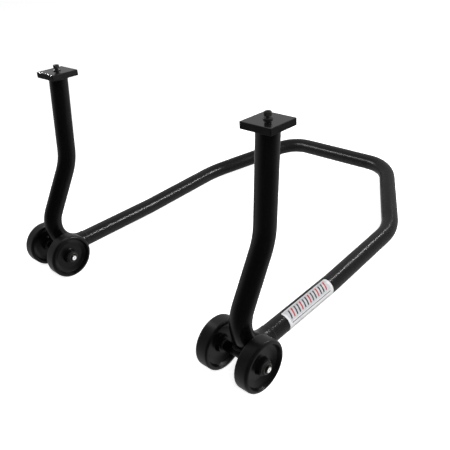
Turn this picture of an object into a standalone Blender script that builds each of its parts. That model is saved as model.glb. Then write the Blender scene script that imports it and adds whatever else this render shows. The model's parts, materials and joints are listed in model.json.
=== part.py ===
"""Rear paddock stand for a motorcycle.

A bent U-shaped frame tube is welded to two bent uprights. Each upright carries a square top plate
with an adapter screw, and a cross sleeve under its foot whose axle holds a wheel on either side.
The stand rests on its four wheels and on the two rear bends of the frame tube.

Units are metres. +X is to the right across the stand, +Y is to the rear (the handle) and +Z is up.
The origin is on the floor, in the middle of the footprint.
"""
import math

import bmesh
import bpy
from mathutils import Matrix, Vector

# ---------------------------------------------------------------- driving dimensions
GAP = 0.0003                    # clearance between touching pieces

# tubes
UPRIGHT_D = 0.032               # outer diameter of the bent uprights
FRAME_D = 0.0305                # outer diameter of the bent frame tube
TUBE_WALL = 0.0025
TUBE_SIDES = 20
TUBE_BORE_SIDES = 10
BEND_STEP = math.radians(9.0)   # turn between two rings of a bend

# wheels and axles, with positions along the axle measured from the middle of the sleeve
WHEEL_R = 0.040
WHEEL_W = 0.023
WHEEL_OFFSET = 0.037            # middle of the sleeve to the middle of a wheel
OUTER_EDGE_R = 0.0046           # rounding of the tread's edges
INNER_EDGE_R = 0.0030
RIM_R = 0.0345                  # a wheel's dish: (radius, depth) at its rim, its break and its web
BREAK_R = 0.032
BREAK_DEPTH = 0.006
WEB_R = 0.0255
WEB_DEPTH = 0.009
AXLE_R = 0.005
AXLE_L = 0.110
AXLE_CHAMFER = 0.001
SLEEVE_R = 0.0075
SLEEVE_L = 0.050
BUSH_R = 0.007
HUB_R = 0.012
HUB_RECESS_IN = 0.0015          # inner hub end, below the wheel's inner side
HUB_RECESS_OUT = 0.0005         # outer hub end, below the wheel's outer side
WASHER_R = 0.009
CAP_R = 0.0105
CAP_T = 0.0042
CAP_FLANGE_T = 0.001
CAP_CREST_R = 0.0087
CAP_MOUTH_R = 0.0066
CAP_MOUTH_DEPTH = 0.0012
ROUND_SIDES = 24
SMALL_SIDES = 16
WHEEL_SIDES = 32

# places, measured from the axle line (y rearward, z up) and from the middle of the stand (x outward)
SLEEVE_X = 0.2308               # middle of the sleeve and of the wheel pair
PLATE_X = 0.2335
UPRIGHT_X = 0.2348
PLATE_Y = 0.0988
PLATE_Z = 0.3123                # middle of the plate's top face
PLATE_LEAN = math.radians(5.0)  # plates lean to the rear while the handle is down
KINK = (0.0715, 0.1531)         # corner of the upright's upper bend (y, z)
FOOT = (-0.0372, -0.0048)       # corner of the upright's foot bend (y, z)
KINK_R = 0.093
FOOT_R = 0.0537
ARM_BEND = (0.2311, 0.2250, -0.0213)      # slight bend halfway along each arm
REAR_BEND = (0.2272, 0.4205, -0.0252)     # bend that rests on the floor
HANDLE_BEND = (0.1214, 0.5882, 0.0013)    # bend at each end of the handle
ARM_BEND_R = 0.200
REAR_BEND_R = 0.100
HANDLE_BEND_R = 0.072
SEAM_RUN = 0.0962               # foot corner to the weld between upright and frame tube

# top plate, adapter screw and its washer
PLATE_SIDE = 0.050
PLATE_T = 0.010
PLATE_EDGE = 0.0011
SCREW_R = 0.003
SCREW_HEAD_R = 0.005
SCREW_HEAD_H = 0.006
SCREW_SOCKET_R = 0.0028
SCREW_SOCKET_DEPTH = 0.003
SCREW_CHAMFER = 0.0005
SCREW_LENGTH = 0.020            # shank under the head
NECK_H = 0.0027                 # bare shank between the washer and the screw's head
FLAT_WASHER_R = 0.006
FLAT_WASHER_BORE_R = 0.0034
FLAT_WASHER_T = 0.0016
SEAT_R = 0.0067                 # shallow seat cut in the plate under the washer

# weld beads and label
BEAD_R = 0.0022
LABEL_START = 0.094             # label's near end, rearward of the axle line
LABEL_END = 0.208
LABEL_TOP = math.radians(104.0)     # edges of the label round the tube, from straight outward
LABEL_BOTTOM = math.radians(-60.0)
LABEL_T = 0.0004
LABEL_STEPS = 12

# the axle line's place over the floor
REAR_END = HANDLE_BEND[1] + FRAME_D / 2
AXLE_Y = -(REAR_END - WHEEL_R) / 2
AXLE_Z = WHEEL_R

SIDES = (("left", -1.0), ("right", 1.0))
SHARP_ANGLE = math.radians(32.0)    # edges that turn more than this are shaded sharp


# ---------------------------------------------------------------- helpers
def clear_scene():
    for item in list(bpy.data.objects):
        bpy.data.objects.remove(item, do_unlink=True)


def make_material(name, colour, roughness, metallic):
    material = bpy.data.materials.new(name)
    material.use_nodes = True
    shader = material.node_tree.nodes["Principled BSDF"]
    shader.inputs["Base Color"].default_value = (*colour, 1.0)
    shader.inputs["Roughness"].default_value = roughness
    shader.inputs["Metallic"].default_value = metallic
    return material


def add_object(name, mesh_data, material, matrix=None):
    """Turn a bmesh into a named object, its faces pointing out."""
    bmesh.ops.recalc_face_normals(mesh_data, faces=mesh_data.faces)
    mesh = bpy.data.meshes.new(name)
    mesh_data.to_mesh(mesh)
    mesh_data.free()
    mesh.materials.append(material)
    mesh.shade_smooth()
    mesh.set_sharp_from_angle(angle=SHARP_ANGLE)
    item = bpy.data.objects.new(name, mesh)
    bpy.context.scene.collection.objects.link(item)
    if matrix is not None:
        item.matrix_world = matrix
    return item


def on_stand(side, x, y, z):
    """A point given from the axle line, on the side with sign -1 or +1, in world space."""
    return Vector((side * x, AXLE_Y + y, AXLE_Z + z))


def filleted_path(corners, radii):
    """Centreline through the corners, with an arc of each radius at each inner corner.

    Returns (point, tangent) pairs. A straight stretch has only its two ends.
    """
    stations = [(corners[0], (corners[1] - corners[0]).normalized())]
    for before, corner, after, radius in zip(corners, corners[1:], corners[2:], radii):
        inward = (corner - before).normalized()
        outward = (after - corner).normalized()
        turn = inward.angle(outward)
        start = corner - inward * radius * math.tan(turn / 2)
        across = (outward - inward * inward.dot(outward)).normalized()
        centre = start + across * radius
        steps = max(2, round(turn / BEND_STEP))
        for step in range(steps + 1):
            angle = turn * step / steps
            point = centre + radius * (inward * math.sin(angle) - across * math.cos(angle))
            stations.append((point, inward * math.cos(angle) + across * math.sin(angle)))
    stations.append((corners[-1], (corners[-1] - corners[-2]).normalized()))
    return stations


def ring_axes(tangent, reference):
    """Two unit vectors across the tube; the first lies along the reference direction."""
    first = (reference - tangent * reference.dot(tangent)).normalized()
    return first, tangent.cross(first)


def ring_points(station, reference, radius, sides, start=0.0, sweep=math.tau):
    point, tangent = station
    first, second = ring_axes(tangent, reference)
    whole = abs(sweep - math.tau) < 1e-9
    count = sides if whole else sides + 1
    angles = [start + sweep * index / sides for index in range(count)]
    return [point + radius * (first * math.cos(a) + second * math.sin(a)) for a in angles]


def cut_to_plane(points, tangent, plane_point, plane_normal):
    """Slide points along the tube until they lie on a plane, as a saw would cut it."""
    return [p + tangent * ((plane_point - p).dot(plane_normal) / tangent.dot(plane_normal))
            for p in points]


def join_rings(mesh_data, first, second):
    count = len(first)
    for index in range(count):
        after = (index + 1) % count
        mesh_data.faces.new((first[index], first[after], second[after], second[index]))


def annulus(mesh_data, outer, inner):
    """Flat ring face between an outer ring and an inner ring with half as many points."""
    for index in range(len(inner)):
        after = (index + 1) % len(inner)
        a, b, c = (outer[(2 * index + k) % len(outer)] for k in range(3))
        mesh_data.faces.new((inner[index], a, b))
        mesh_data.faces.new((inner[index], b, inner[after]))
        mesh_data.faces.new((inner[after], b, c))


def tube_mesh(stations, reference, radius, start_plane=None):
    """Open-ended hollow tube swept along the stations."""
    mesh_data = bmesh.new()
    walls = []
    for wall_radius, sides in ((radius, TUBE_SIDES), (radius - TUBE_WALL, TUBE_BORE_SIDES)):
        rings = []
        for index, station in enumerate(stations):
            points = ring_points(station, reference, wall_radius, sides)
            if index == 0 and start_plane is not None:
                points = cut_to_plane(points, station[1], *start_plane)
            rings.append([mesh_data.verts.new(p) for p in points])
        for first, second in zip(rings, rings[1:]):
            join_rings(mesh_data, first, second)
        walls.append(rings)
    outer, inner = walls
    annulus(mesh_data, outer[0], inner[0])
    annulus(mesh_data, outer[-1], inner[-1])
    return mesh_data


def turned_ring(profile, sides):
    """Closed ring turned about the local X axis from (x, radius) points."""
    mesh_data = bmesh.new()
    loops = []
    for step in range(sides):
        angle = math.tau * step / sides
        loops.append([mesh_data.verts.new((x, r * math.cos(angle), r * math.sin(angle)))
                      for x, r in profile])
    for first, second in zip(loops, loops[1:] + loops[:1]):
        join_rings(mesh_data, first, second)
    return mesh_data


def turned_solid(profile, sides):
    """Solid turned about the local X axis; the profile's two ends close with flat discs."""
    mesh_data = bmesh.new()
    rings = []
    for x, r in profile:
        angles = (math.tau * step / sides for step in range(sides))
        rings.append([mesh_data.verts.new((x, r * math.cos(a), r * math.sin(a))) for a in angles])
    for first, second in zip(rings, rings[1:]):
        join_rings(mesh_data, first, second)
    mesh_data.faces.new(rings[0])
    mesh_data.faces.new(rings[-1])
    return mesh_data


def add_cutter(name, mesh_data, matrix):
    mesh = bpy.data.meshes.new(name)
    bmesh.ops.recalc_face_normals(mesh_data, faces=mesh_data.faces)
    mesh_data.to_mesh(mesh)
    mesh_data.free()
    cutter = bpy.data.objects.new(name, mesh)
    bpy.context.scene.collection.objects.link(cutter)
    cutter.matrix_world = matrix
    cutter.hide_render = True
    cutter.display_type = "WIRE"
    return cutter


def cut_away(item, cutter):
    modifier = item.modifiers.new("cut", "BOOLEAN")
    modifier.operation = "DIFFERENCE"
    modifier.solver = "EXACT"
    modifier.object = cutter


# ---------------------------------------------------------------- frame
def upright_corners(side):
    """Top plate underside, kink, foot bend and the seam with the frame tube."""
    top = plate_matrix(side) @ Vector((0.0, 0.0, -PLATE_T - GAP))
    kink = on_stand(side, UPRIGHT_X, *KINK)
    foot = on_stand(side, UPRIGHT_X, *FOOT)
    arm = on_stand(side, *ARM_BEND)
    seam = foot + (arm - foot).normalized() * SEAM_RUN
    return top, kink, foot, seam


def plate_matrix(side):
    """Frame of a top plate: the origin is the middle of its top face, local Z is its normal."""
    centre = on_stand(side, PLATE_X, PLATE_Y, PLATE_Z)
    return Matrix.Translation(centre) @ Matrix.Rotation(-PLATE_LEAN, 4, "X")


def screw_matrix(side):
    """Frame of an adapter screw: as the plate's, with local X along the plate's normal."""
    return plate_matrix(side) @ Matrix.Rotation(-math.pi / 2, 4, "Y")


def axle_matrix(side):
    """Frame of an axle: the origin is the middle of the sleeve, local X points outward."""
    place = Matrix.Translation(on_stand(side, SLEEVE_X, 0.0, 0.0))
    return place if side > 0 else place @ Matrix.Rotation(math.pi, 4, "Z")


def build_upright(label, side, paint):
    top, kink, foot, seam = upright_corners(side)
    stations = filleted_path([top, kink, foot, seam], [KINK_R, FOOT_R])
    normal = plate_matrix(side).to_3x3() @ Vector((0.0, 0.0, 1.0))
    mesh_data = tube_mesh(stations, Vector((1.0, 0.0, 0.0)), UPRIGHT_D / 2, (top, normal))
    upright = add_object(label + "_upright", mesh_data, paint)
    reach = SLEEVE_L * 0.55
    saddle_r = SLEEVE_R + GAP
    saddle = turned_solid(((-reach, saddle_r), (reach, saddle_r)), ROUND_SIDES)
    cut_away(upright, add_cutter(label + "_saddle_cutter", saddle, axle_matrix(side)))


def build_frame_tube(paint):
    right = [on_stand(1.0, *ARM_BEND), on_stand(1.0, *REAR_BEND), on_stand(1.0, *HANDLE_BEND)]
    left = [on_stand(-1.0, *ARM_BEND), on_stand(-1.0, *REAR_BEND), on_stand(-1.0, *HANDLE_BEND)]
    ends = []
    for side, bend in ((1.0, right[0]), (-1.0, left[0])):
        seam = upright_corners(side)[3]
        ends.append(seam + (bend - seam).normalized() * GAP)
    corners = [ends[0], *right, *reversed(left), ends[1]]
    bends = [ARM_BEND_R, REAR_BEND_R, HANDLE_BEND_R]
    stations = filleted_path(corners, bends + bends[::-1])
    mesh_data = tube_mesh(stations, Vector((0.0, 0.0, 1.0)), FRAME_D / 2)
    add_object("frame_tube", mesh_data, paint)


def build_seam_weld(label, side, paint):
    """Ring of weld round the frame tube, where it meets the end of the upright."""
    seam = upright_corners(side)[3]
    along = (on_stand(side, *ARM_BEND) - seam).normalized()
    inner = FRAME_D / 2 + GAP
    profile = ((GAP, inner), (GAP, inner + BEAD_R), (BEAD_R * 0.7, inner + BEAD_R * 0.8),
               (BEAD_R * 1.5, inner))
    bead = turned_ring(profile, TUBE_SIDES)
    turn = Vector((1.0, 0.0, 0.0)).rotation_difference(along).to_matrix().to_4x4()
    add_object(label + "_seam_weld", bead, paint, Matrix.Translation(seam) @ turn)


def build_plate(label, side, paint):
    """Square top plate with a hole for the adapter screw and a shallow seat for its washer."""
    mesh_data = bmesh.new()
    bmesh.ops.create_cube(mesh_data, size=1.0)
    bmesh.ops.scale(mesh_data, vec=(PLATE_SIDE, PLATE_SIDE, PLATE_T), verts=mesh_data.verts)
    bmesh.ops.translate(mesh_data, vec=(0.0, 0.0, -PLATE_T / 2), verts=mesh_data.verts)
    bmesh.ops.bevel(mesh_data, geom=mesh_data.edges[:], offset=PLATE_EDGE, segments=2, profile=0.5,
                    affect="EDGES")
    plate = add_object(label + "_top_plate", mesh_data, paint, plate_matrix(side))
    hole_r = SCREW_R + GAP
    hole = turned_solid(((-2 * PLATE_T, hole_r), (-GAP, hole_r), (-GAP, SEAT_R), (PLATE_T, SEAT_R)),
                        ROUND_SIDES)
    cut_away(plate, add_cutter(label + "_plate_hole_cutter", hole, screw_matrix(side)))


def build_plate_weld(label, side, paint):
    """Fillet weld round the top of the upright, under the plate."""
    inner = UPRIGHT_D / 2 + GAP
    matrix = plate_matrix(side)
    normal = matrix.to_3x3() @ Vector((0.0, 0.0, 1.0))
    top, kink = upright_corners(side)[:2]
    down = (kink - top).normalized()
    mesh_data = bmesh.new()
    rings = []
    for drop, radius in ((GAP, inner), (GAP, inner + BEAD_R), (BEAD_R, inner + BEAD_R * 0.5),
                         (BEAD_R * 1.6, inner)):
        points = ring_points((top, down), Vector((1.0, 0.0, 0.0)), radius, TUBE_SIDES)
        points = cut_to_plane(points, down, top - normal * drop, normal)
        rings.append([mesh_data.verts.new(p) for p in points])
    for first, second in zip(rings, rings[1:] + rings[:1]):
        join_rings(mesh_data, first, second)
    add_object(label + "_plate_weld", mesh_data, paint)


def build_adapter_screw(label, side, steel):
    """Socket-head screw, part way out, with the flat washer that clamps a lifting adapter."""
    head_bottom = FLAT_WASHER_T + NECK_H
    head_top = head_bottom + SCREW_HEAD_H
    tip = head_bottom - SCREW_LENGTH
    stand_up = screw_matrix(side)
    profile = ((tip, SCREW_R - SCREW_CHAMFER), (tip + SCREW_CHAMFER, SCREW_R),
               (head_bottom, SCREW_R), (head_bottom, SCREW_HEAD_R),
               (head_top - SCREW_CHAMFER, SCREW_HEAD_R), (head_top, SCREW_HEAD_R - SCREW_CHAMFER),
               (head_top, SCREW_SOCKET_R), (head_top - SCREW_SOCKET_DEPTH, SCREW_SOCKET_R))
    add_object(label + "_adapter_screw", turned_solid(profile, SMALL_SIDES), steel, stand_up)
    washer = ((0.0, FLAT_WASHER_BORE_R), (0.0, FLAT_WASHER_R),
              (FLAT_WASHER_T, FLAT_WASHER_R), (FLAT_WASHER_T, FLAT_WASHER_BORE_R))
    add_object(label + "_screw_washer", turned_ring(washer, ROUND_SIDES), steel, stand_up)


# ---------------------------------------------------------------- wheels
def wheel_profile():
    """Half section of the wheel about its own middle: (x outward, radius)."""
    half = WHEEL_W / 2
    bore = BUSH_R + GAP
    tread = [(-half, WHEEL_R - INNER_EDGE_R), (-half + 0.3 * INNER_EDGE_R, WHEEL_R - 0.3 * INNER_EDGE_R),
             (-half + INNER_EDGE_R, WHEEL_R), (half - OUTER_EDGE_R, WHEEL_R),
             (half - 0.3 * OUTER_EDGE_R, WHEEL_R - 0.3 * OUTER_EDGE_R), (half, WHEEL_R - OUTER_EDGE_R)]
    dish = [(half, RIM_R), (half - BREAK_DEPTH, BREAK_R), (half - WEB_DEPTH, WEB_R),
            (half - WEB_DEPTH, HUB_R + 0.0012)]
    outer_hub = [(half - HUB_RECESS_OUT, HUB_R), (half - HUB_RECESS_OUT, bore)]
    inner_hub = [(-half + HUB_RECESS_IN, bore), (-half + HUB_RECESS_IN, HUB_R)]
    inner_dish = [(-x, r) for x, r in reversed(dish)]
    return tread + dish + outer_hub + inner_hub + inner_dish


def build_wheel_pair(label, side, plastic, bronze, black_steel):
    """Sleeve axle with a wheel on either side of the foot, each with bush, washer and end cap."""
    frame = axle_matrix(side)
    half = WHEEL_W / 2
    for place, sign in (("outer", 1.0), ("inner", -1.0)):
        name = label + "_" + place
        flip = Matrix.Identity(4) if sign > 0 else Matrix.Rotation(math.pi, 4, "Z")
        outward = frame @ flip
        middle = outward @ Matrix.Translation((WHEEL_OFFSET, 0.0, 0.0))
        add_object(name + "_wheel", turned_ring(wheel_profile(), WHEEL_SIDES), plastic, middle)
        bore = AXLE_R + GAP
        ends = (-half + HUB_RECESS_IN, half - HUB_RECESS_OUT)
        bush = ((ends[0], bore), (ends[0], BUSH_R), (ends[1], BUSH_R), (ends[1], bore))
        add_object(name + "_bush", turned_ring(bush, ROUND_SIDES), bronze, middle)
        inside = SLEEVE_L / 2 + GAP
        outside = WHEEL_OFFSET + ends[0] - GAP
        washer = ((inside, bore), (inside, WASHER_R), (outside, WASHER_R), (outside, bore))
        add_object(name + "_thrust_washer", turned_ring(washer, SMALL_SIDES), black_steel, outward)
        start = WHEEL_OFFSET + ends[1] + GAP
        cap = ((start, bore), (start, CAP_R), (start + CAP_FLANGE_T, CAP_R),
               (start + CAP_T, CAP_CREST_R), (start + CAP_T, CAP_MOUTH_R),
               (start + CAP_T - CAP_MOUTH_DEPTH, bore))
        add_object(name + "_retaining_cap", turned_ring(cap, ROUND_SIDES), black_steel, outward)


def build_axle(label, side, steel, paint):
    frame = axle_matrix(side)
    end = AXLE_L / 2
    profile = ((-end, AXLE_R - AXLE_CHAMFER), (-end + AXLE_CHAMFER, AXLE_R),
               (end - AXLE_CHAMFER, AXLE_R), (end, AXLE_R - AXLE_CHAMFER))
    add_object(label + "_axle", turned_solid(profile, ROUND_SIDES), steel, frame)
    half = SLEEVE_L / 2
    bore = AXLE_R + GAP
    sleeve = ((-half, bore), (-half, SLEEVE_R), (half, SLEEVE_R), (half, bore))
    add_object(label + "_axle_sleeve", turned_ring(sleeve, ROUND_SIDES), paint, frame)


# ---------------------------------------------------------------- label
def build_label(film):
    """Printed film wrapped round the upper and outer side of the right arm."""
    seam = upright_corners(1.0)[3]
    bend = on_stand(1.0, *ARM_BEND)
    along = (bend - seam).normalized()
    inner = FRAME_D / 2 + GAP
    mesh_data = bmesh.new()
    rings = []
    for distance in (LABEL_START, LABEL_END):
        point = seam + along * ((AXLE_Y + distance - seam.y) / along.y)
        section = []
        for radius in (inner, inner + LABEL_T):
            ring = ring_points((point, along), Vector((1.0, 0.0, 0.0)), radius, LABEL_STEPS,
                               -LABEL_BOTTOM, LABEL_BOTTOM - LABEL_TOP)
            section.append(ring)
        rings.append([mesh_data.verts.new(p) for p in section[0] + section[1][::-1]])
    join_rings(mesh_data, *rings)
    for ring in rings:
        count = len(ring)
        for index in range(LABEL_STEPS):
            mesh_data.faces.new((ring[index], ring[index + 1], ring[count - 2 - index],
                                 ring[count - 1 - index]))
    add_object("label", mesh_data, film)


def main():
    clear_scene()
    paint = make_material("black_powder_coat", (0.012, 0.012, 0.013), 0.35, 0.0)
    frame_paint = make_material("black_frame_coat", (0.016, 0.016, 0.017), 0.40, 0.0)
    plate_paint = make_material("black_plate_coat", (0.014, 0.014, 0.015), 0.18, 0.0)
    plastic = make_material("black_wheel_plastic", (0.010, 0.010, 0.011), 0.42, 0.0)
    black_steel = make_material("blackened_steel", (0.020, 0.020, 0.021), 0.40, 1.0)
    bright_steel = make_material("bright_steel", (0.72, 0.72, 0.70), 0.25, 1.0)
    bronze = make_material("bush_bronze", (0.45, 0.28, 0.12), 0.45, 1.0)
    film = make_material("label_film", (0.85, 0.85, 0.85), 0.30, 0.0)

    build_frame_tube(frame_paint)
    build_label(film)
    for label, side in SIDES:
        build_upright(label, side, paint)
        build_seam_weld(label, side, paint)
        build_plate(label, side, plate_paint)
        build_plate_weld(label, side, paint)
        build_adapter_screw(label, side, black_steel)
        build_axle(label, side, bright_steel, paint)
        build_wheel_pair(label, side, plastic, bronze, black_steel)


main()
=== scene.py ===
"""Looks of the rear paddock stand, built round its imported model.

Every turned, bent and welded piece is made again here with a fine surface, in the place that the
frame gives it. Units are metres: +X is to the right, +Y to the rear (the handle) and +Z up.
"""
import json
import math

import bmesh
import bpy
from mathutils import Matrix, Vector


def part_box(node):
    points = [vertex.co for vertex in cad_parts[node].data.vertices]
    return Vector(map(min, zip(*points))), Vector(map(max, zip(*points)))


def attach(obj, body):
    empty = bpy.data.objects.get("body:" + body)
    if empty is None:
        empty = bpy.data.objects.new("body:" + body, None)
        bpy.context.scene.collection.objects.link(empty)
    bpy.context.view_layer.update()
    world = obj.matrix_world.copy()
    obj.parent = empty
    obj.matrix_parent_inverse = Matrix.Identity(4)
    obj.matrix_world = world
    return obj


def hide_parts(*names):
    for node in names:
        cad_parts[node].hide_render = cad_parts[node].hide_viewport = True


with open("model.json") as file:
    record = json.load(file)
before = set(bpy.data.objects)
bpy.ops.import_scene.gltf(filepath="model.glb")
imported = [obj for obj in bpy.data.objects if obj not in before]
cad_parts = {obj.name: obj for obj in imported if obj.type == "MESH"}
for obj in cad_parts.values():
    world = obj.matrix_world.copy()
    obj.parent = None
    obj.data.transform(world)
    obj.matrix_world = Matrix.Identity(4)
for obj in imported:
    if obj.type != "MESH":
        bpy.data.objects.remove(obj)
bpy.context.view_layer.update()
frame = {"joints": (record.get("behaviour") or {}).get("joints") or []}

STAND = "stand_frame"
SIDES = (("left", -1.0), ("right", 1.0))
MM = 0.001
X_AXIS = Vector((1.0, 0.0, 0.0))
Y_AXIS = Vector((0.0, 1.0, 0.0))
Z_AXIS = Vector((0.0, 0.0, 1.0))

# ---------------------------------------------------------------- sizes that the CAD model also uses
UPRIGHT_R = 16.0 * MM
FRAME_R = 15.25 * MM
TUBE_WALL = 2.5 * MM
PLATE_T = 10.0 * MM
PLATE_SIDE = 50.0 * MM
PLATE_LEAN = math.radians(5.0)
TOUCH = 0.05 * MM                       # how far a print or a bead sinks into what it lies on

# bends of the tubes, from the axle line (y to the rear, z up); the frame's also give x outward
KINK = (0.0715, 0.1531)
FOOT = (-0.0372, -0.0048)
KINK_R = 0.093
FOOT_R = 0.0537
ARM_BEND = (0.2311, 0.2250, -0.0213)
REAR_BEND = (0.2272, 0.4205, -0.0252)
HANDLE_BEND = (0.1214, 0.5882, 0.0013)
ARM_BEND_R = 0.200
REAR_BEND_R = 0.100
HANDLE_BEND_R = 0.072
SEAM_RUN = 0.0962                       # foot corner to the weld with the frame tube
FOOT_RUN = 0.040                        # foot corner to where the frame's grained coat begins
FOOT_REACH = 1.5 * UPRIGHT_R            # how far from the foot's centreline that coat is looked for

# fineness of the surfaces
TUBE_SIDES = 72
BEND_STEP = math.radians(2.5)
ROUND_SIDES = 96
SMALL_SIDES = 48
FILLET_STEP = math.radians(15.0)
SHARP_ANGLE = math.radians(35.0)

# weld beads: half width, height and the share that each ripple takes off
RIPPLE_PITCH = 1.7 * MM
BEAD_STEPS_PER_RIPPLE = 6
BEAD_SIDES = 14
SEAM_BEAD = (2.8 * MM, 1.4 * MM, 0.08)
PLATE_BEAD = (3.0 * MM, 2.4 * MM, 0.14)
SLEEVE_BEAD = (2.6 * MM, 2.4 * MM, 0.14)

# places read from the frame
WHEEL_AXES = {joint["name"]: Vector(joint["pos_m"]) for joint in frame["joints"]}
AXLE_Y = WHEEL_AXES["right_outer_wheel_spin"].y
AXLE_Z = WHEEL_AXES["right_outer_wheel_spin"].z


def middle_of(node):
    low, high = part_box(node)
    return (low + high) / 2


# ---------------------------------------------------------------- mesh helpers
def add_piece(name, shape, material, body, replaced=(), matrix=None):
    """Turn a bmesh into a shaded piece that rides on a body and takes a material slot's finish."""
    bmesh.ops.recalc_face_normals(shape, faces=shape.faces)
    mesh = bpy.data.meshes.new(name)
    shape.to_mesh(mesh)
    shape.free()
    mesh.materials.append(material)
    mesh.shade_smooth()
    mesh.set_sharp_from_angle(angle=SHARP_ANGLE)
    piece = bpy.data.objects.new(name, mesh)
    bpy.context.scene.collection.objects.link(piece)
    if matrix is not None:
        piece.matrix_world = matrix
        bpy.context.view_layer.update()
    normals = piece.modifiers.new("flat_faces_stay_flat", "WEIGHTED_NORMAL")
    normals.keep_sharp = True
    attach(piece, body)
    if replaced:
        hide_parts(*replaced)
    return piece


def soften(outline):
    """Round the corners of a closed outline of (x, y, fillet radius) points."""
    points = []
    count = len(outline)
    for index, (x, y, radius) in enumerate(outline):
        corner = Vector((x, y))
        before = Vector(outline[index - 1][:2])
        after = Vector(outline[(index + 1) % count][:2])
        if radius == 0.0:
            points.append(tuple(corner))
            continue
        inward = (corner - before).normalized()
        outward = (after - corner).normalized()
        turn = inward.angle(outward)
        start = corner - inward * radius * math.tan(turn / 2)
        across = (outward - inward * inward.dot(outward)).normalized()
        centre = start + across * radius
        steps = max(2, round(turn / FILLET_STEP))
        for step in range(steps + 1):
            angle = turn * step / steps
            points.append(tuple(centre + radius * (inward * math.sin(angle) - across * math.cos(angle))))
    return points


def bridge(shape, first, second):
    """Quads between two closed loops of vertices."""
    count = len(first)
    for index in range(count):
        after = (index + 1) % count
        shape.faces.new((first[index], first[after], second[after], second[index]))


def turned_ring(outline, sides):
    """Ring turned about the local X axis from a closed outline of (x, radius)."""
    shape = bmesh.new()
    loops = []
    for step in range(sides):
        angle = math.tau * step / sides
        loops.append([shape.verts.new((x, r * math.cos(angle), r * math.sin(angle)))
                      for x, r in outline])
    for first, second in zip(loops, loops[1:] + loops[:1]):
        bridge(shape, first, second)
    return shape


def lathe(rows, sides, radius_at=None):
    """Solid of (x, radius) rows about the local X axis; both ends close with a disc.

    radius_at(row, angle) may change a row's radius round the turn.
    """
    shape = bmesh.new()
    rings = []
    for row in rows:
        ring = []
        for step in range(sides):
            angle = math.tau * step / sides
            radius = radius_at(row, angle) if radius_at else row[1]
            ring.append(shape.verts.new((row[0], radius * math.cos(angle), radius * math.sin(angle))))
        rings.append(ring)
    for first, second in zip(rings, rings[1:]):
        bridge(shape, first, second)
    shape.faces.new(rings[0])
    shape.faces.new(rings[-1])
    return shape


def filleted_path(corners, radii):
    """Centreline through the corners as (point, tangent) stations, with an arc at each inner corner."""
    stations = [(corners[0], (corners[1] - corners[0]).normalized())]
    for before, corner, after, radius in zip(corners, corners[1:], corners[2:], radii):
        inward = (corner - before).normalized()
        outward = (after - corner).normalized()
        turn = inward.angle(outward)
        start = corner - inward * radius * math.tan(turn / 2)
        across = (outward - inward * inward.dot(outward)).normalized()
        centre = start + across * radius
        steps = max(2, round(turn / BEND_STEP))
        for step in range(steps + 1):
            angle = turn * step / steps
            point = centre + radius * (inward * math.sin(angle) - across * math.cos(angle))
            stations.append((point, inward * math.cos(angle) + across * math.sin(angle)))
    stations.append((corners[-1], (corners[-1] - corners[-2]).normalized()))
    return stations


def ring_axes(tangent, reference):
    first = (reference - tangent * reference.dot(tangent)).normalized()
    return first, tangent.cross(first)


def tube_shape(stations, reference, radius, start_plane=None):
    """Hollow tube with open ends; start_plane is a (point, normal) that its first end is cut to."""
    shape = bmesh.new()
    walls = []
    for wall_radius in (radius, radius - TUBE_WALL):
        rings = []
        for index, (point, tangent) in enumerate(stations):
            first, second = ring_axes(tangent, reference)
            ring = []
            for step in range(TUBE_SIDES):
                angle = math.tau * step / TUBE_SIDES
                place = point + wall_radius * (first * math.cos(angle) + second * math.sin(angle))
                if index == 0 and start_plane is not None:
                    place = slide_to_plane(place, tangent, *start_plane)
                ring.append(shape.verts.new(place))
            rings.append(ring)
        for one, other in zip(rings, rings[1:]):
            bridge(shape, one, other)
        walls.append(rings)
    bridge(shape, walls[0][0], walls[1][0])
    bridge(shape, walls[0][-1], walls[1][-1])
    return shape


def slide_to_plane(place, tangent, plane_point, plane_normal):
    return place + tangent * ((plane_point - place).dot(plane_normal) / tangent.dot(plane_normal))


def bead_shape(path, width, height, ripple, closed):
    """Weld bead along (point, out, along-normal) stations with the ripples of its run.

    width is its half size along the third vector, height along the second, and ripple the share
    of both that each wave of solidified metal takes off. An open bead narrows to a round end.
    """
    shape = bmesh.new()
    rings = []
    count = len(path)
    for index, (point, out, along) in enumerate(path):
        wave = 1.0 - ripple * abs(math.sin(math.pi * index / BEAD_STEPS_PER_RIPPLE))
        if not closed:
            end = abs(2.0 * index / (count - 1) - 1.0)
            wave *= max(0.05, math.sqrt(max(0.0, 1.0 - end ** 6)))
        rings.append([shape.verts.new(point + out * height * wave * math.cos(math.tau * k / BEAD_SIDES)
                                      + along * width * wave * math.sin(math.tau * k / BEAD_SIDES))
                      for k in range(BEAD_SIDES)])
    for first, second in zip(rings, rings[1:] + (rings[:1] if closed else [])):
        bridge(shape, first, second)
    if not closed:
        shape.faces.new(rings[0])
        shape.faces.new(rings[-1])
    return shape


# ---------------------------------------------------------------- materials
# noise scales, in waves per metre
COAT_CLOUDS = 35.0
PLASTIC_FLOW = 60.0
PLASTIC_GRAIN = 1500.0
STEEL_STAIN = 180.0
LATHE_LINES = 1400.0
FILM_MOTTLE = 220.0
# heights of the surfaces' relief
PLASTIC_GRAIN_DEPTH = 0.02 * MM
LATHE_LINE_DEPTH = 0.01 * MM


def shader_material(name, colour, roughness, metallic=0.0, specular=0.5):
    material = bpy.data.materials.new(name)
    material.use_nodes = True
    shader = material.node_tree.nodes["Principled BSDF"]
    shader.inputs["Base Color"].default_value = (*colour, 1.0)
    shader.inputs["Roughness"].default_value = roughness
    shader.inputs["Metallic"].default_value = metallic
    shader.inputs["Specular IOR Level"].default_value = specular
    return material


def object_coordinates(material):
    return material.node_tree.nodes.new("ShaderNodeTexCoord").outputs["Object"]


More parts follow.
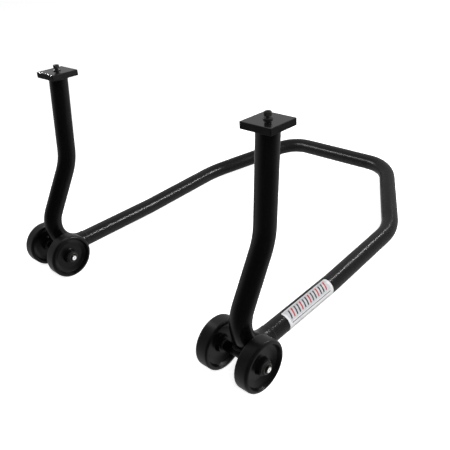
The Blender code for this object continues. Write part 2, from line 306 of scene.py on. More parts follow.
def noise(material, coordinates, scale, detail=2.0, roughness=0.5):
    node = material.node_tree.nodes.new("ShaderNodeTexNoise")
    node.inputs["Scale"].default_value = scale
    node.inputs["Detail"].default_value = detail
    node.inputs["Roughness"].default_value = roughness
    material.node_tree.links.new(coordinates, node.inputs["Vector"])
    return node.outputs["Fac"]


def ranged(material, value, low, high, start=0.3, stop=0.7):
    """The value's stretch from start to stop, as a number from low to high."""
    node = material.node_tree.nodes.new("ShaderNodeMapRange")
    node.inputs["From Min"].default_value = start
    node.inputs["From Max"].default_value = stop
    node.inputs["To Min"].default_value = low
    node.inputs["To Max"].default_value = high
    material.node_tree.links.new(value, node.inputs["Value"])
    return node.outputs["Result"]


def blend_colours(material, factor, first, second):
    node = material.node_tree.nodes.new("ShaderNodeMix")
    node.data_type = "RGBA"
    node.inputs["A"].default_value = (*first, 1.0)
    node.inputs["B"].default_value = (*second, 1.0)
    material.node_tree.links.new(factor, node.inputs["Factor"])
    return node.outputs["Result"]


def to_shader(material, value, socket):
    shader = material.node_tree.nodes["Principled BSDF"]
    material.node_tree.links.new(value, shader.inputs[socket])


def bump(material, height, distance):
    node = material.node_tree.nodes.new("ShaderNodeBump")
    node.inputs["Strength"].default_value = 1.0
    node.inputs["Distance"].default_value = distance
    material.node_tree.links.new(height, node.inputs["Height"])
    to_shader(material, node.outputs["Normal"], "Normal")


def powder_coat(name, dark, light, roughness, grain, grain_depth, specular=0.5):
    """Black coat: a fine grain of its powder, with faint clouds in its colour and its gloss."""
    material = shader_material(name, dark, roughness[0], specular=specular)
    coordinates = object_coordinates(material)
    clouds = noise(material, coordinates, COAT_CLOUDS, detail=4.0)
    specks = noise(material, coordinates, grain, detail=3.0, roughness=0.65)
    to_shader(material, blend_colours(material, ranged(material, specks, 0.0, 1.0, 0.40, 0.70),
                                      dark, light), "Base Color")
    to_shader(material, ranged(material, clouds, *roughness), "Roughness")
    bump(material, noise(material, coordinates, grain, detail=0.0), grain_depth)
    return material


def moulded_plastic():
    """Black nylon: satin, with the faint clouds of its flow and a fine spark-eroded grain."""
    material = shader_material("moulded_plastic", (0.0023, 0.0023, 0.0024), 0.31, specular=0.68)
    coordinates = object_coordinates(material)
    flow = noise(material, coordinates, PLASTIC_FLOW, detail=3.0)
    grain = noise(material, coordinates, PLASTIC_GRAIN, detail=2.0)
    to_shader(material, blend_colours(material, ranged(material, flow, 0.0, 1.0),
                                      (0.0016, 0.0016, 0.0017), (0.0030, 0.0030, 0.0031)), "Base Color")
    to_shader(material, ranged(material, flow, 0.27, 0.34), "Roughness")
    bump(material, grain, PLASTIC_GRAIN_DEPTH)
    return material


def turned_steel(name, dark, light, roughness, metallic=1.0):
    """Bare or plated steel with the fine rings that a lathe leaves round the local X axis."""
    material = shader_material(name, dark, roughness[0], metallic=metallic)
    coordinates = object_coordinates(material)
    stain = noise(material, coordinates, STEEL_STAIN, detail=4.0)
    wave = material.node_tree.nodes.new("ShaderNodeTexWave")
    wave.wave_type = "RINGS"
    wave.rings_direction = "X"
    wave.inputs["Scale"].default_value = LATHE_LINES
    wave.inputs["Distortion"].default_value = 1.5
    wave.inputs["Detail"].default_value = 2.0
    material.node_tree.links.new(coordinates, wave.inputs["Vector"])
    to_shader(material, blend_colours(material, ranged(material, stain, 0.0, 1.0), dark, light),
              "Base Color")
    to_shader(material, ranged(material, stain, *roughness), "Roughness")
    bump(material, wave.outputs["Fac"], LATHE_LINE_DEPTH)
    return material


def printed_film(name, colour, worn):
    """Printed vinyl: a smooth film whose ink is a little uneven."""
    material = shader_material(name, colour, 0.3)
    coordinates = object_coordinates(material)
    mottle = noise(material, coordinates, FILM_MOTTLE, detail=3.0)
    to_shader(material, blend_colours(material, ranged(material, mottle, 0.0, 1.0), colour, worn),
              "Base Color")
    to_shader(material, ranged(material, mottle, 0.26, 0.38), "Roughness")
    return material


FRAME_COAT = powder_coat("frame_coat_grain", (0.006, 0.006, 0.0063), (0.016, 0.0155, 0.015),
                         (0.24, 0.29), grain=900.0, grain_depth=0.0015 * MM)
UPRIGHT_COAT = powder_coat("upright_coat_smooth", (0.0012, 0.0012, 0.0014), (0.0022, 0.0022, 0.0024),
                           (0.20, 0.27), grain=500.0, grain_depth=0.010 * MM)
WELD_COAT = powder_coat("weld_coat", (0.012, 0.012, 0.0125), (0.028, 0.028, 0.028),
                        (0.26, 0.36), grain=800.0, grain_depth=0.03 * MM)
PLATE_COAT = powder_coat("plate_coat_gloss", (0.003, 0.003, 0.0031), (0.006, 0.006, 0.006),
                         (0.10, 0.15), grain=260.0, grain_depth=0.02 * MM, specular=1.0)
PLATE_COAT.node_tree.nodes["Principled BSDF"].inputs["IOR"].default_value = 1.8
PLATE_EDGE_COAT = powder_coat("plate_coat_edge", (0.002, 0.002, 0.0021), (0.004, 0.004, 0.0041),
                              (0.50, 0.60), grain=700.0, grain_depth=0.03 * MM, specular=0.3)
PLASTIC = moulded_plastic()
BRIGHT_STEEL = turned_steel("bright_turned_steel", (0.30, 0.30, 0.29), (0.52, 0.52, 0.50), (0.26, 0.38))
BLACK_STEEL = turned_steel("blackened_turned_steel", (0.010, 0.010, 0.010), (0.024, 0.023, 0.022),
                           (0.42, 0.56), metallic=0.0)
WORN_STEEL = turned_steel("worn_cap_crest", (0.10, 0.10, 0.10), (0.19, 0.19, 0.18), (0.30, 0.42))
# near-white matt finish for the axle ends: a painted highlight in place of the glint on their bright steel
AXLE_END_PAINTED_HIGHLIGHT = turned_steel("axle_end_painted_highlight", (0.86, 0.86, 0.85), (0.96, 0.96, 0.95), (0.30, 0.45),
                         metallic=0.0)
BRONZE = turned_steel("sintered_bronze", (0.38, 0.23, 0.10), (0.52, 0.33, 0.15), (0.38, 0.5))
FILM = printed_film("label_film_white", (0.68, 0.68, 0.70), (0.76, 0.76, 0.77))
INK = printed_film("label_ink_black", (0.012, 0.012, 0.013), (0.03, 0.03, 0.031))
RED_INK = printed_film("label_ink_red", (0.46, 0.012, 0.014), (0.56, 0.03, 0.03))
FIELD_INK = printed_film("label_ink_silver", (0.50, 0.51, 0.53), (0.57, 0.58, 0.60))
GREY_INK = printed_film("label_ink_grey", (0.10, 0.10, 0.105), (0.18, 0.18, 0.185))


# ---------------------------------------------------------------- places
def from_axle(side, x, y, z):
    """A point given from the axle line, on the side with sign -1 or +1."""
    return Vector((side * x, AXLE_Y + y, AXLE_Z + z))


def plate_place(label):
    """Frame of a top plate: the middle of its top face, with local Z along its normal."""
    turn = Matrix.Rotation(-PLATE_LEAN, 4, "X")
    centre = middle_of(label + "_top_plate") + turn.to_3x3() @ Z_AXIS * PLATE_T / 2
    return Matrix.Translation(centre) @ turn


def screw_place(label):
    """Frame of an adapter screw: as its plate's, with local X along the plate's normal."""
    return plate_place(label) @ Matrix.Rotation(-math.pi / 2, 4, "Y")


def axle_place(label, side):
    """Frame of an axle: the middle of its sleeve, with local X outward."""
    place = Matrix.Translation(middle_of(label + "_axle_sleeve"))
    return place if side > 0 else place @ Matrix.Rotation(math.pi, 4, "Z")


def upright_corners(label, side):
    """Top plate's underside, kink, foot bend and the seam with the frame tube."""
    x = abs(middle_of(label + "_upright").x)
    top = plate_place(label) @ Vector((0.0, 0.0, -PLATE_T))
    kink = from_axle(side, x, *KINK)
    foot = from_axle(side, x, *FOOT)
    seam = foot + (from_axle(side, *ARM_BEND) - foot).normalized() * SEAM_RUN
    return top, kink, foot, seam


# ---------------------------------------------------------------- welded frame
def ring_path(centre, tangent, radius, cut_plane=None):
    """Stations round a tube for a closed bead: point, direction away from the tube, tangent."""
    ripples = round(math.tau * radius / RIPPLE_PITCH)
    count = ripples * BEAD_STEPS_PER_RIPPLE
    first, second = ring_axes(tangent, X_AXIS)
    path = []
    for step in range(count):
        angle = math.tau * step / count
        out = first * math.cos(angle) + second * math.sin(angle)
        point = centre + out * radius
        if cut_plane is not None:
            point = slide_to_plane(point, tangent, *cut_plane)
        path.append((point, out, tangent))
    return path


def build_upright(label, side):
    top, kink, foot, seam = upright_corners(label, side)
    normal = plate_place(label).to_3x3() @ Z_AXIS
    stations = filleted_path([top, kink, foot, seam], [KINK_R, FOOT_R])
    shape = tube_shape(stations, X_AXIS, UPRIGHT_R, (top, normal))
    tube = add_piece(label + "_upright_tube", shape, UPRIGHT_COAT, STAND,
                     (label + "_upright",))
    tube.data.materials.append(FRAME_COAT)
    run = (seam - foot).normalized()
    for face in tube.data.polygons:
        offset = face.center - foot
        along = offset.dot(run)
        on_foot = (offset - run * along).length < FOOT_REACH
        face.material_index = 1 if on_foot and along > FOOT_RUN else 0


def build_frame_tube():
    bends = (ARM_BEND, REAR_BEND, HANDLE_BEND)
    right = [upright_corners("right", 1.0)[3]] + [from_axle(1.0, *bend) for bend in bends]
    left = [upright_corners("left", -1.0)[3]] + [from_axle(-1.0, *bend) for bend in bends]
    radii = [ARM_BEND_R, REAR_BEND_R, HANDLE_BEND_R]
    stations = filleted_path(right + left[::-1], radii + radii[::-1])
    shape = tube_shape(stations, Z_AXIS, FRAME_R)
    add_piece("bent_frame_tube", shape, FRAME_COAT, STAND, ("frame_tube",))


def build_seam_bead(label, side):
    """Butt weld round the joint of the upright's foot and the frame tube."""
    seam = upright_corners(label, side)[3]
    along = (from_axle(side, *ARM_BEND) - seam).normalized()
    path = ring_path(seam + along * 0.7 * MM, along, FRAME_R - 0.6 * MM)
    shape = bead_shape(path, *SEAM_BEAD, closed=True)
    add_piece(label + "_seam_bead", shape, FRAME_COAT, STAND, (label + "_seam_weld",))


def build_plate_bead(label, side):
    """Fillet weld round the top of the upright, under its plate."""
    top, kink = upright_corners(label, side)[:2]
    down = (kink - top).normalized()
    normal = plate_place(label).to_3x3() @ Z_AXIS
    path = ring_path(top, down, UPRIGHT_R + 0.2 * MM, (top - normal * 0.6 * MM, normal))
    shape = bead_shape(path, *PLATE_BEAD, closed=True)
    add_piece(label + "_plate_bead", shape, WELD_COAT, STAND, (label + "_plate_weld",))


def build_plate(label):
    """Square plate with rounded edges, its tapped hole and the washer's shallow seat."""
    bevel_r = 1.15 * MM
    shape = bmesh.new()
    bmesh.ops.create_cube(shape, size=1.0)
    bmesh.ops.scale(shape, vec=(PLATE_SIDE, PLATE_SIDE, PLATE_T), verts=shape.verts)
    bmesh.ops.translate(shape, vec=(0.0, 0.0, -PLATE_T / 2), verts=shape.verts)
    bmesh.ops.bevel(shape, geom=shape.edges[:], offset=bevel_r, segments=5, profile=0.5, affect="EDGES")
    plate = add_piece(label + "_square_plate", shape, PLATE_COAT, STAND,
                      (label + "_top_plate",), plate_place(label))
    hole_r = 3.3 * MM
    seat_r = 6.7 * MM
    seat = -0.3 * MM
    rows = ((-2 * PLATE_T, hole_r), (seat, hole_r), (seat, seat_r), (PLATE_T, seat_r))
    drill = lathe(rows, SMALL_SIDES)
    bmesh.ops.recalc_face_normals(drill, faces=drill.faces)
    mesh = bpy.data.meshes.new("drill")
    drill.to_mesh(mesh)
    drill.free()
    cutter = bpy.data.objects.new("drill", mesh)
    bpy.context.scene.collection.objects.link(cutter)
    cutter.matrix_world = screw_place(label)
    cut_now(plate, cutter)
    plate.data.materials.append(PLATE_EDGE_COAT)
    for face in plate.data.polygons:
        face.material_index = 0 if face.normal.z > 0.7 else 1


def cut_now(piece, cutter):
    """Take the cutter out of the piece's mesh, and then remove the cutter."""
    modifier = piece.modifiers.new("cut", "BOOLEAN")
    modifier.operation = "DIFFERENCE"
    modifier.solver = "EXACT"
    modifier.object = cutter
    piece.modifiers.move(len(piece.modifiers) - 1, 0)
    bpy.context.view_layer.objects.active = piece
    bpy.context.view_layer.update()
    bpy.ops.object.modifier_apply(modifier="cut")
    bpy.data.objects.remove(cutter, do_unlink=True)
    piece.data.set_sharp_from_angle(angle=SHARP_ANGLE)


# ---------------------------------------------------------------- adapter screw
def hexagon_radius(angle, half_flats):
    sixth = math.tau / 6
    return half_flats / math.cos((angle % sixth) - sixth / 2)


def build_adapter_screw(label):
    """M6 socket-head screw, knurled and threaded, standing over the plate with its flat washer."""
    washer_t = 1.6 * MM
    neck = 2.7 * MM
    low = washer_t + neck
    high = low + 6.0 * MM
    head_r = 5.0 * MM
    thread_r = 3.0 * MM
    thread_depth = 0.55 * MM
    pitch = 1.0 * MM
    tip = low - 20.0 * MM
    half_flats = 2.5 * MM
    socket_floor = high - 3.0 * MM
    knurl_teeth = 24
    knurl_depth = 0.22 * MM

    def radius_at(row, angle):
        x, radius, kind = row
        if kind == "thread":
            turn = (x / pitch - angle / math.tau) % 1.0
            return radius - thread_depth * min(1.0, 2.4 * abs(turn - 0.5))
        if kind == "knurl":
            return radius - knurl_depth * abs(math.sin(knurl_teeth * angle / 2)) ** 0.7
        if kind == "hex":
            return hexagon_radius(angle, radius)
        return radius

    rows = [(tip, thread_r - 0.9 * MM, "plain"), (tip + 0.5 * MM, thread_r - 0.5 * MM, "plain")]
    thread_steps = 110
    thread_run = low - 0.4 * MM - tip - 1.0 * MM
    rows += [(tip + 1.0 * MM + thread_run * step / thread_steps, thread_r, "thread")
             for step in range(thread_steps + 1)]
    rows += [(low, thread_r - 0.3 * MM, "plain"), (low, head_r - 0.5 * MM, "plain"),
             (low + 0.35 * MM, head_r - 0.1 * MM, "plain"), (low + 0.6 * MM, head_r, "knurl"),
             (high - 1.0 * MM, head_r, "knurl"), (high - 0.7 * MM, head_r - 0.05 * MM, "plain"),
             (high - 0.2 * MM, head_r - 0.4 * MM, "plain"), (high, head_r - 0.9 * MM, "plain"),
             (high, half_flats + 0.65 * MM, "plain"), (high - 0.35 * MM, half_flats, "hex"),
             (socket_floor, half_flats, "hex")]
    shape = lathe(rows, ROUND_SIDES, radius_at)
    add_piece(label + "_socket_screw", shape, BLACK_STEEL, STAND,
              (label + "_adapter_screw",), screw_place(label))
    edge = 0.25 * MM
    outline = soften([(0.0, 3.3 * MM, 0.0), (0.0, 6.0 * MM, edge), (washer_t, 6.0 * MM, edge),
                      (washer_t, 3.3 * MM, edge)])
    add_piece(label + "_flat_washer", turned_ring(outline, SMALL_SIDES), BLACK_STEEL, STAND,
              (label + "_screw_washer",), screw_place(label))


# ---------------------------------------------------------------- wheels
WHEEL_R = 40.0 * MM
WHEEL_HALF = 11.5 * MM
WHEEL_OFFSET = 37.0 * MM                # middle of the sleeve to the middle of a wheel
OUTER_EDGE_R = 4.6 * MM                 # rounding of the tread's edges
INNER_EDGE_R = 3.0 * MM
RIM_R = 34.5 * MM                       # a wheel's dish: radius and depth at its rim, break and web
BREAK_R = 32.0 * MM
BREAK_DEPTH = 6.0 * MM
WEB_R = 25.5 * MM
WEB_DEPTH = 9.0 * MM
HUB_R = 12.0 * MM
HUB_IN = WHEEL_HALF - 1.5 * MM          # hub ends, from the wheel's middle
HUB_OUT = WHEEL_HALF - 0.5 * MM
BUSH_R = 7.0 * MM
BORE_R = 5.15 * MM
AXLE_R = 5.0 * MM
SLEEVE_HALF = 25.0 * MM
CAP_WORN_FROM = 3.6 * MM                # height on a retaining cap from where its crest is worn bright
END_FACE = 0.9                          # a face that looks along the axle more than this is its end, which is painted near white as a highlight


def wheel_outline():
    """Half section of a wheel: rounded tread, then on each side the dish and the hub."""
    face = WHEEL_HALF
    dish = [(face, RIM_R, 0.25 * MM), (face - BREAK_DEPTH, BREAK_R, 2.0 * MM),
            (face - WEB_DEPTH, WEB_R, 3.0 * MM), (face - WEB_DEPTH, HUB_R + 1.2 * MM, 1.5 * MM)]
    outer = [(face, WHEEL_R, OUTER_EDGE_R)] + dish
    outer += [(HUB_OUT, HUB_R, 0.6 * MM), (HUB_OUT, BUSH_R + 0.1 * MM, 0.3 * MM)]
    inner = [(-HUB_IN, BUSH_R + 0.1 * MM, 0.3 * MM), (-HUB_IN, HUB_R, 0.6 * MM)]
    inner += [(-x, r, fillet) for x, r, fillet in reversed(dish)]
    return soften(outer + inner + [(-face, WHEEL_R, INNER_EDGE_R)])


def cap_outline(start):
    """Pressed retaining cap: a thin flange, a cone up to a rounded crest, and a dished mouth."""
    flange_r = 10.5 * MM
    crest_r = 8.7 * MM
    mouth_r = 6.6 * MM
    crest = start + 4.2 * MM
    flange = start + 1.0 * MM
    return soften([
        (start, BORE_R, 0.0), (start, flange_r, 0.3 * MM), (flange, flange_r, 0.3 * MM),
        (flange + 0.2 * MM, flange_r - 0.9 * MM, 0.3 * MM), (crest, crest_r, 0.7 * MM),
        (crest, mouth_r, 0.7 * MM), (crest - 1.2 * MM, mouth_r - 0.9 * MM, 0.3 * MM),
        (crest - 1.2 * MM, BORE_R, 0.1 * MM),
    ])


def build_wheel(label, side, place, sign):
    name = label + "_" + place
    roller = name + "_roller"
    turn = Matrix.Identity(4) if sign > 0 else Matrix.Rotation(math.pi, 4, "Z")
    outward = axle_place(label, side) @ turn
    centre = outward @ Matrix.Translation((WHEEL_OFFSET, 0.0, 0.0))
    add_piece(name + "_moulded_wheel", turned_ring(wheel_outline(), ROUND_SIDES), PLASTIC, roller,
              (name + "_wheel",), centre)
    bush = soften([(-HUB_IN, BORE_R, 0.3 * MM), (-HUB_IN, BUSH_R, 0.3 * MM), (HUB_OUT, BUSH_R, 0.3 * MM),
                   (HUB_OUT, BORE_R, 0.3 * MM)])
    add_piece(name + "_plain_bush", turned_ring(bush, SMALL_SIDES), BRONZE, roller,
              (name + "_bush",), centre)
    inside = SLEEVE_HALF + 0.1 * MM
    outside = WHEEL_OFFSET - HUB_IN - 0.1 * MM
    washer_r = 9.0 * MM
    washer = soften([(inside, BORE_R, 0.2 * MM), (inside, washer_r, 0.3 * MM),
                     (outside, washer_r, 0.3 * MM), (outside, BORE_R, 0.2 * MM)])
    add_piece(name + "_thrust_ring", turned_ring(washer, SMALL_SIDES), BLACK_STEEL, STAND,
              (name + "_thrust_washer",), outward)
    cap_start = WHEEL_OFFSET + HUB_OUT + 0.3 * MM
    cap = add_piece(name + "_push_cap", turned_ring(cap_outline(cap_start), ROUND_SIDES), BLACK_STEEL,
                    STAND, (name + "_retaining_cap",), outward)
    cap.data.materials.append(WORN_STEEL)
    for face in cap.data.polygons:
        face.material_index = 1 if face.center.x > cap_start + CAP_WORN_FROM else 0


def build_axle(label, side):
    """Axle rod with chamfered, centre-drilled ends, and the sleeve welded under the foot."""
    end = 55.0 * MM
    chamfer = 1.1 * MM
    centre_r = 0.9 * MM
    half_rows = [(end - chamfer, AXLE_R), (end, AXLE_R - chamfer), (end, centre_r),
                 (end - 0.9 * MM, 0.2 * MM)]
    rows = [(-x, r) for x, r in reversed(half_rows)] + half_rows
    place = axle_place(label, side)
    axle = add_piece(label + "_axle_rod", lathe(rows, SMALL_SIDES), BRIGHT_STEEL, STAND,
                     (label + "_axle",), place)
    # the axle's end faces take the near-white painted highlight; the rest stays bright turned steel
    axle.data.materials.append(AXLE_END_PAINTED_HIGHLIGHT)
    for face in axle.data.polygons:
        face.material_index = 1 if abs(face.normal.x) > END_FACE else 0
    sleeve_r = 7.5 * MM
    sleeve = soften([(-SLEEVE_HALF, BORE_R, 0.3 * MM), (-SLEEVE_HALF, sleeve_r, 0.6 * MM),
                     (SLEEVE_HALF, sleeve_r, 0.6 * MM), (SLEEVE_HALF, BORE_R, 0.3 * MM)])
    add_piece(label + "_cross_sleeve", turned_ring(sleeve, SMALL_SIDES), UPRIGHT_COAT, STAND,
              (label + "_axle_sleeve",), place)
    build_sleeve_beads(label, side)


def build_sleeve_beads(label, side):
    """Two short fillet welds along the line where the sleeve touches the upright's foot."""
    toward_tube = Vector((0.0, 0.545, 0.839)).normalized()
    aside = X_AXIS.cross(toward_tube)
    middle = middle_of(label + "_axle_sleeve")
    half_run = 9.5 * MM
    count = 2 * round(half_run / RIPPLE_PITCH) * BEAD_STEPS_PER_RIPPLE + 1
    for where, hand in (("front", 1.0), ("rear", -1.0)):
        path = []
        for step in range(count):
            x = half_run * (2.0 * step / (count - 1) - 1.0)
            rise = UPRIGHT_R - math.sqrt(UPRIGHT_R ** 2 - x ** 2)
            point = middle + X_AXIS * x + toward_tube * (5.9 * MM + 0.5 * rise) + aside * hand * 7.0 * MM
            out = (aside * hand + toward_tube * 0.3).normalized()
            path.append((point, out, X_AXIS.cross(out)))
        shape = bead_shape(path, *SLEEVE_BEAD, closed=False)
        add_piece(f"{label}_sleeve_bead_{where}", shape, WELD_COAT, STAND)


# ---------------------------------------------------------------- label
LABEL_START = 94.0 * MM                 # near and far end, rearward of the axle line
LABEL_END = 208.0 * MM
LABEL_TOP = math.radians(100.0)         # edges round the tube, from straight outward
LABEL_BOTTOM = math.radians(-60.0)
LABEL_CORNER_R = 3.0 * MM
FILM_T = 0.25 * MM
INK_T = 0.06 * MM
ANGLE_STEP = math.radians(3.0)


ARM_SEAM = upright_corners("right", 1.0)[3]
ARM_ALONG = (from_axle(1.0, *ARM_BEND) - ARM_SEAM).normalized()


def arm_point(distance, angle, radius):
    """Point on the right arm: distance from the axle line, angle up from straight outward."""
    first, second = ring_axes(ARM_ALONG, X_AXIS)
    centre = ARM_SEAM + ARM_ALONG * ((AXLE_Y + distance - ARM_SEAM.y) / ARM_ALONG.y)
    return centre + radius * (first * math.cos(angle) - second * math.sin(angle))


def add_patch(shape, rows, inner, outer):
    """Thin curved slab on the arm from rows of (angle, start, end), each start and end a distance."""
    corners = []
    for angle, start, end in rows:
        corners.append([shape.verts.new(arm_point(distance, angle, radius))
                        for distance, radius in ((start, inner), (end, inner), (end, outer), (start, outer))])
    for first, second in zip(corners, corners[1:]):
        bridge(shape, first, second)
    shape.faces.new(corners[0])
    shape.faces.new(corners[-1])


def angle_rows(low, high):
    steps = max(1, round((high - low) / ANGLE_STEP))
    return [low + (high - low) * step / steps for step in range(steps + 1)]


def build_label_film():
    """White film with rounded corners."""
    corner = LABEL_CORNER_R / FRAME_R
    angles = angle_rows(LABEL_BOTTOM + corner, LABEL_TOP - corner)
    arc = [corner * math.sin(math.radians(degrees)) for degrees in range(15, 91, 15)]
    angles = [LABEL_BOTTOM + corner - a for a in reversed(arc)] + angles
    angles += [LABEL_TOP - corner + a for a in arc]
    rows = []
    for angle in angles:
        past = max(LABEL_BOTTOM + corner - angle, angle - LABEL_TOP + corner, 0.0) * FRAME_R
        inset = LABEL_CORNER_R - math.sqrt(max(0.0, LABEL_CORNER_R ** 2 - past ** 2))
        rows.append((angle, LABEL_START + inset, LABEL_END - inset))
    shape = bmesh.new()
    add_patch(shape, rows, FRAME_R, FRAME_R + FILM_T)
    add_piece("label_film", shape, FILM, STAND, ("label",))


def build_print(name, ink, bars, lift=1.0):
    """Printed bars, each (start, end, low angle, high angle, slant) with angles in degrees."""
    shape = bmesh.new()
    inner = FRAME_R + FILM_T - TOUCH
    for start, end, low, high, slant in bars:
        low, high = math.radians(low), math.radians(high)
        rows = []
        for angle in angle_rows(low, high):
            lean = slant * (angle - low) / (high - low)
            rows.append((angle, start + lean, end + lean))
        add_patch(shape, rows, inner, FRAME_R + FILM_T + lift * INK_T)
    add_piece(name, shape, ink, STAND)


def hatch(start, end, low, high, slant, count, stroke):
    """Slanted strokes between two angles, evenly from start to end."""
    pitch = (end - start - stroke) / (count - 1)
    return [(start + pitch * index, start + pitch * index + stroke, low, high, slant)
            for index in range(count)]


def build_label():
    """A plain generic print on a grey field: a row of slanted bars, a rule and a row of dashes."""
    build_label_film()
    build_print("label_field", FIELD_INK, [(98.0 * MM, 203.0 * MM, 24.0, 94.0, 0.0)], lift=0.5)
    bars = hatch(101.0 * MM, 194.0 * MM, 36.0, 86.0, 5.0 * MM, 14, 2.8 * MM)
    rule = (100.0 * MM, 200.0 * MM, 14.0, 18.5, 0.0)
    build_print("label_bars_red", RED_INK, bars[1::3])
    build_print("label_bars_black", INK, bars[0::3] + bars[2::3] + [rule])
    build_print("label_dashes", GREY_INK, hatch(106.0 * MM, 196.0 * MM, -12.0, -6.0, 0.0, 38, 1.3 * MM))


# ---------------------------------------------------------------- studio
CAMERA_AT = Vector((0.67326, -0.684875, 0.62409))
CAMERA_RIGHT = Vector((0.7272, 0.6765, -0.1163))
CAMERA_DOWN = Vector((0.2908, -0.4571, -0.8405))
CAMERA_FORWARD = Vector((-0.6218, 0.5774, -0.5291))
FOCAL_PIXELS = 583.5
IMAGE_PIXELS = 450
AXIS_OFF_CENTRE = 0.5                   # pixels that the optical axis lies right of and below the middle
SENSOR = 36.0

FLOOR_REACH = 6.0
FLOOR_DROP = 0.1 * MM                   # keeps the floor just clear of the wheels
FLOOR_GREY = (0.62, 0.62, 0.62)
FLOOR_SEEN = (0.9, 0.9, 0.9)
FLOOR_GLOW = 0.82
# light that comes from each angle to one side of the room: (cosine to that side, radiance)
ROOM_LIGHT = ((-1.0, 0.50), (-0.87, 0.34), (-0.7, 0.33), (-0.4, 0.35), (-0.15, 0.28), (0.05, 0.20),
              (0.2, 0.13), (0.35, 0.08), (0.5, 0.05), (1.0, 0.02))
STRIP_WIDTH = 9.0 * MM                  # the arms' strips; the handle's is a little wider
HANDLE_STRIP_WIDTH = 11.0 * MM
FILL_SIDE = 2.0


def build_camera():
    data = bpy.data.cameras.new("camera")
    data.sensor_width = SENSOR
    data.lens = FOCAL_PIXELS * SENSOR / IMAGE_PIXELS
    data.shift_x = -AXIS_OFF_CENTRE / IMAGE_PIXELS
    data.shift_y = AXIS_OFF_CENTRE / IMAGE_PIXELS
    data.clip_start = 0.01
    data.clip_end = 50.0
    camera = bpy.data.objects.new("camera", data)
    bpy.context.scene.collection.objects.link(camera)
    turn = Matrix((CAMERA_RIGHT, -CAMERA_DOWN, -CAMERA_FORWARD)).transposed()
    camera.matrix_world = Matrix.Translation(CAMERA_AT) @ turn.to_4x4()
    bpy.context.scene.camera = camera


def build_floor():
    """Pale floor. The camera sees it nearly white; in the reflections it is a softer grey."""
    bpy.ops.mesh.primitive_plane_add(size=2 * FLOOR_REACH, location=(0.0, 0.0, -FLOOR_DROP))
    floor = bpy.context.object
    floor.name = "studio_floor"
    material = bpy.data.materials.new("pale_floor")
    material.use_nodes = True
    nodes = material.node_tree.nodes
    links = material.node_tree.links
    nodes.remove(nodes["Principled BSDF"])
    matt = nodes.new("ShaderNodeBsdfDiffuse")
    matt.inputs["Color"].default_value = (*FLOOR_GREY, 1.0)
    bright = nodes.new("ShaderNodeBsdfDiffuse")
    bright.inputs["Color"].default_value = (*FLOOR_SEEN, 1.0)
    glow = nodes.new("ShaderNodeEmission")
    glow.inputs["Color"].default_value = (1.0, 1.0, 1.0, 1.0)
    glow.inputs["Strength"].default_value = FLOOR_GLOW
    lit = nodes.new("ShaderNodeAddShader")
    path = nodes.new("ShaderNodeLightPath")
    mix = nodes.new("ShaderNodeMixShader")
    links.new(bright.outputs[0], lit.inputs[0])
    links.new(glow.outputs[0], lit.inputs[1])
    links.new(path.outputs["Is Camera Ray"], mix.inputs[0])
    links.new(matt.outputs[0], mix.inputs[1])
    links.new(lit.outputs[0], mix.inputs[2])
    links.new(mix.outputs[0], nodes["Material Output"].inputs["Surface"])
    floor.data.materials.append(material)
    floor.visible_glossy = False


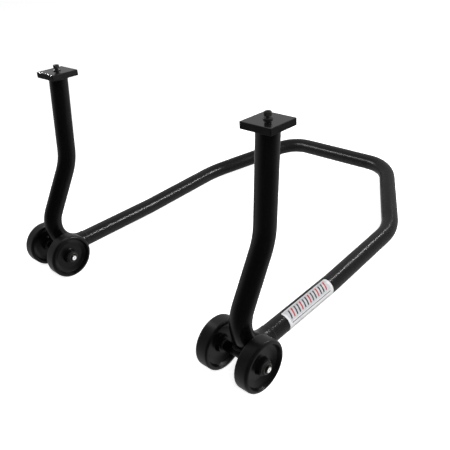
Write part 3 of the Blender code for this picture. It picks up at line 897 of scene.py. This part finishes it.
def build_room():
    """World: a light room that is dark behind the camera, and plain white where the camera sees it."""
    world = bpy.data.worlds.new("studio")
    world.use_nodes = True
    bpy.context.scene.world = world
    nodes = world.node_tree.nodes
    links = world.node_tree.links
    place = nodes.new("ShaderNodeTexCoord")
    toward = nodes.new("ShaderNodeVectorMath")
    toward.operation = "DOT_PRODUCT"
    toward.inputs[1].default_value = -CAMERA_FORWARD
    links.new(place.outputs["Generated"], toward.inputs[0])
    scaled = nodes.new("ShaderNodeMapRange")
    scaled.inputs["From Min"].default_value = -1.0
    links.new(toward.outputs["Value"], scaled.inputs["Value"])
    ramp = nodes.new("ShaderNodeValToRGB")
    stops = ramp.color_ramp.elements
    while len(stops) < len(ROOM_LIGHT):
        stops.new(0.5)
    for stop, (cosine, radiance) in zip(stops, ROOM_LIGHT):
        stop.position = (cosine + 1.0) / 2
        stop.color = (radiance, radiance, radiance, 1.0)
    links.new(scaled.outputs["Result"], ramp.inputs["Fac"])
    room = nodes["Background"]
    links.new(ramp.outputs["Color"], room.inputs["Color"])
    white = nodes.new("ShaderNodeBackground")
    white.inputs["Color"].default_value = (1.0, 1.0, 1.0, 1.0)
    path = nodes.new("ShaderNodeLightPath")
    mix = nodes.new("ShaderNodeMixShader")
    links.new(path.outputs["Is Camera Ray"], mix.inputs[0])
    links.new(room.outputs[0], mix.inputs[1])
    links.new(white.outputs[0], mix.inputs[2])
    links.new(mix.outputs[0], nodes["World Output"].inputs["Surface"])


def add_area_light(name, at, aim, size_x, size_y, power, along):
    """Rectangular light at a point, facing aim, with its long side along a direction."""
    data = bpy.data.lights.new(name, "AREA")
    data.shape = "RECTANGLE"
    data.size = size_x
    data.size_y = size_y
    data.energy = power
    light = bpy.data.objects.new(name, data)
    bpy.context.scene.collection.objects.link(light)
    back = (at - aim).normalized()
    first = (along - back * along.dot(back)).normalized()
    turn = Matrix((first, back.cross(first), back)).transposed()
    light.matrix_world = Matrix.Translation(at) @ turn.to_4x4()
    light.visible_camera = False
    return light


def build_lights():
    """Strips that draw the thin lines along the arms and the handle, and a soft matt fill."""
    near_strip = Vector((0.31, 0.26, 0.45))
    near_aim = near_strip + Vector((-0.97, -0.05, 0.10))
    add_area_light("near_arm_strip", near_strip, near_aim, 0.24, STRIP_WIDTH, 1.9, Y_AXIS)
    far_strip = Vector((0.31, 0.49, 0.45))
    far_aim = far_strip + Vector((-0.94, -0.40, -0.34))
    add_area_light("far_arm_strip", far_strip, far_aim, 0.22, STRIP_WIDTH, 0.85, Y_AXIS)
    handle_strip = Vector((-0.38, -0.13, 0.46))
    handle_aim = Vector((0.0, 0.3, 0.0))
    add_area_light("handle_strip", handle_strip, handle_aim, 0.34, HANDLE_STRIP_WIDTH, 0.85, X_AXIS)
    fill_aim = Vector((0.0, 0.0, 0.1))
    fill = add_area_light("soft_fill", Vector((1.7, -0.3, 1.6)), fill_aim, FILL_SIDE, FILL_SIDE, 60.0,
                          X_AXIS)
    fill.visible_glossy = False


# ---------------------------------------------------------------- the stand
build_camera()
build_floor()
build_room()
build_lights()
bpy.context.scene.view_settings.view_transform = "Standard"

build_frame_tube()
build_label()
for label, side in SIDES:
    build_upright(label, side)
    build_seam_bead(label, side)
    build_plate(label)
    build_plate_bead(label, side)
    build_adapter_screw(label)
    build_axle(label, side)
    for place, sign in (("outer", 1.0), ("inner", -1.0)):
        build_wheel(label, side, place, sign)
